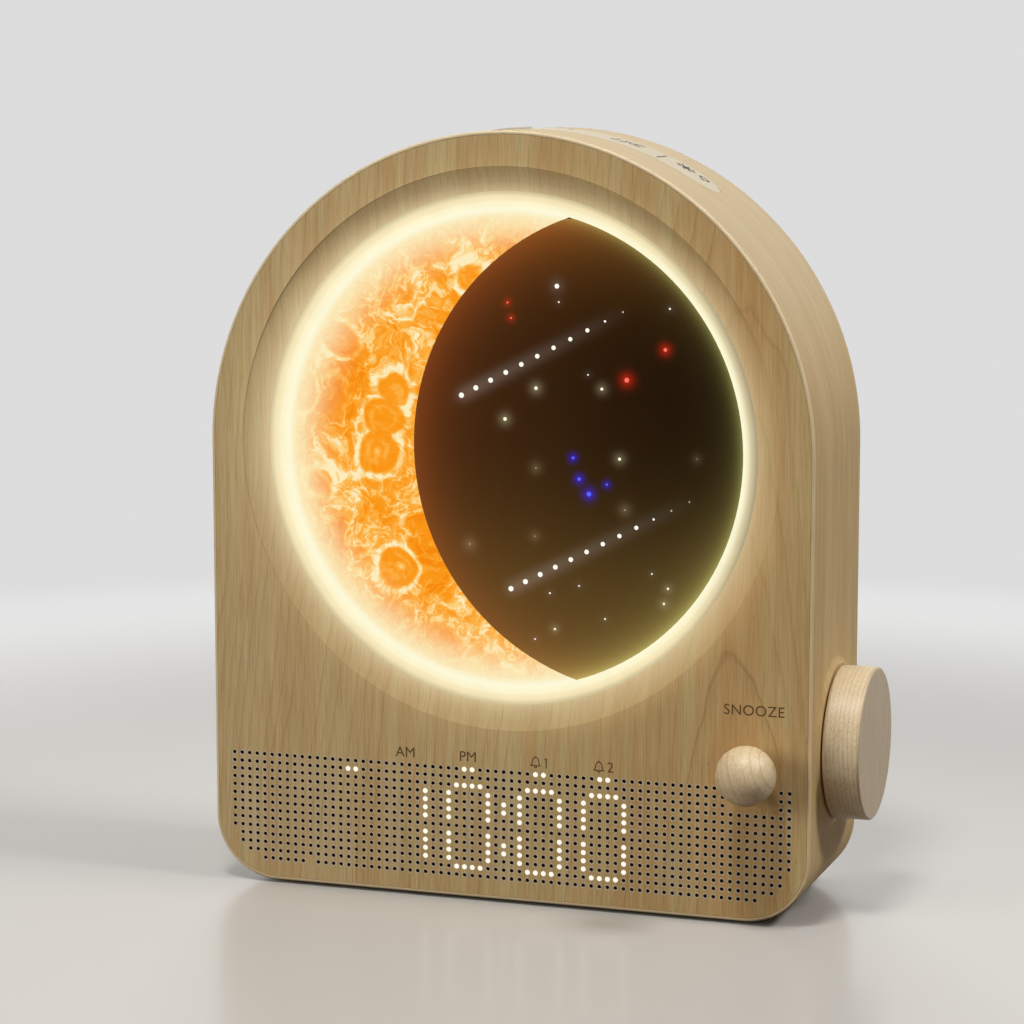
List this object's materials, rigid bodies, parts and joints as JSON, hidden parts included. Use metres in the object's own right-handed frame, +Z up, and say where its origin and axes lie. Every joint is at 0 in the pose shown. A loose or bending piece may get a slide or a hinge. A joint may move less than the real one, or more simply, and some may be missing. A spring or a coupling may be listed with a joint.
{
  "type": "sunrise alarm clock",
  "caption": "Arched wooden table alarm clock with a glowing sun dial, a dark star panel, a display behind a perforated face, a ball snooze button, a side knob and a USB lead.",
  "frame": {"origin": "centre of the foot pad's underside, on the table", "axes": "+X to the right (the knob's side), +Y to the rear, +Z up; the face looks along -Y"},
  "size_m": [0.2089, 0.1453, 0.2344],
  "materials": {
    "case_wood": "satin",
    "face_wood": "satin",
    "ball_wood": "satin",
    "knob_wood": "satin",
    "milky": "satin",
    "sun_print": "satin",
    "smoked": "gloss",
    "white_plastic": "matte",
    "black_plastic": "matte",
    "board_green": "satin",
    "led": "gloss",
    "steel": "satin",
    "spring_steel": "polished",
    "brass": "satin",
    "cloth": "woven",
    "cone_paper": "matte",
    "magnet": "satin",
    "strip": "satin",
    "rubber": "matte",
    "cord": "matte"
  },
  "bodies": {
    "clock": {"body_casing": "case_wood", "front_panel": "face_wood", "dish_bezel": "face_wood", "glow_ring": "milky", "sun_disc": "sun_print", "night_panel": "smoked", "light_box": "white_plastic", "light_box_screws": "steel", "ring_led_board": "board_green", "ring_leds": "led", "sun_led_board": "board_green", "sun_leds": "led", "star_led_board": "board_green", "star_leds": "led", "star_mask": "black_plastic", "display_mask": "black_plastic", "display_board": "board_green", "display_leds": "led", "grille_cloth": "cloth", "foot_pad": "rubber", "speaker_gasket": "rubber", "speaker_frame": "steel", "speaker_cone": "cone_paper", "speaker_magnet": "magnet", "speaker_box": "black_plastic", "encoder_body": "black_plastic", "encoder_bush": "brass", "encoder_nut": "steel", "snooze_bush": "white_plastic", "snooze_bracket": "white_plastic", "snooze_spring": "spring_steel", "switch_boards": "board_green", "push_switches": "black_plastic", "touch_strip": "strip", "touch_board": "board_green", "key_bracket": "white_plastic", "rear_cover": "case_wood", "cover_screws": "steel", "screw_blocks": "case_wood", "main_board": "board_green", "board_components": "black_plastic", "coin_cell_holder": "black_plastic", "coin_cell": "steel", "usb_socket": "steel", "usb_c_plug": "cord", "usb_c_shell": "steel", "usb_cable": "cord", "cable_coil": "cord", "cable_tie": "black_plastic", "cable_tail": "cord", "usb_a_plug": "cord", "usb_a_shell": "steel"},
    "snooze_button": {"snooze_ball": "ball_wood", "snooze_stem": "white_plastic"},
    "encoder_slide": {"encoder_plunger": "black_plastic"},
    "knob": {"side_knob": "knob_wood", "knob_insert": "black_plastic", "knob_shaft": "steel"},
    "key": {"top_key": "strip"}
  },
  "joints": [
    {"name": "snooze_press", "type": "slide", "parent": "clock", "child": "snooze_button", "axis": [0, 1, 0], "range_m": [0, 0.001], "stiffness_N_per_m": 800},
    {"name": "knob_push", "type": "slide", "parent": "clock", "child": "encoder_slide", "axis": [-1, 0, 0], "range_m": [0, 0.0003], "stiffness_N_per_m": 6000},
    {"name": "knob_turn", "type": "hinge", "parent": "encoder_slide", "child": "knob", "pos_m": [0.0967, 0, 0.0512], "axis": [1, 0, 0], "continuous": true},
    {"name": "key_press", "type": "slide", "parent": "clock", "child": "key", "axis": [0.0958, 0, -0.9954], "range_m": [0, 0.0005], "stiffness_N_per_m": 1500}
  ]
}
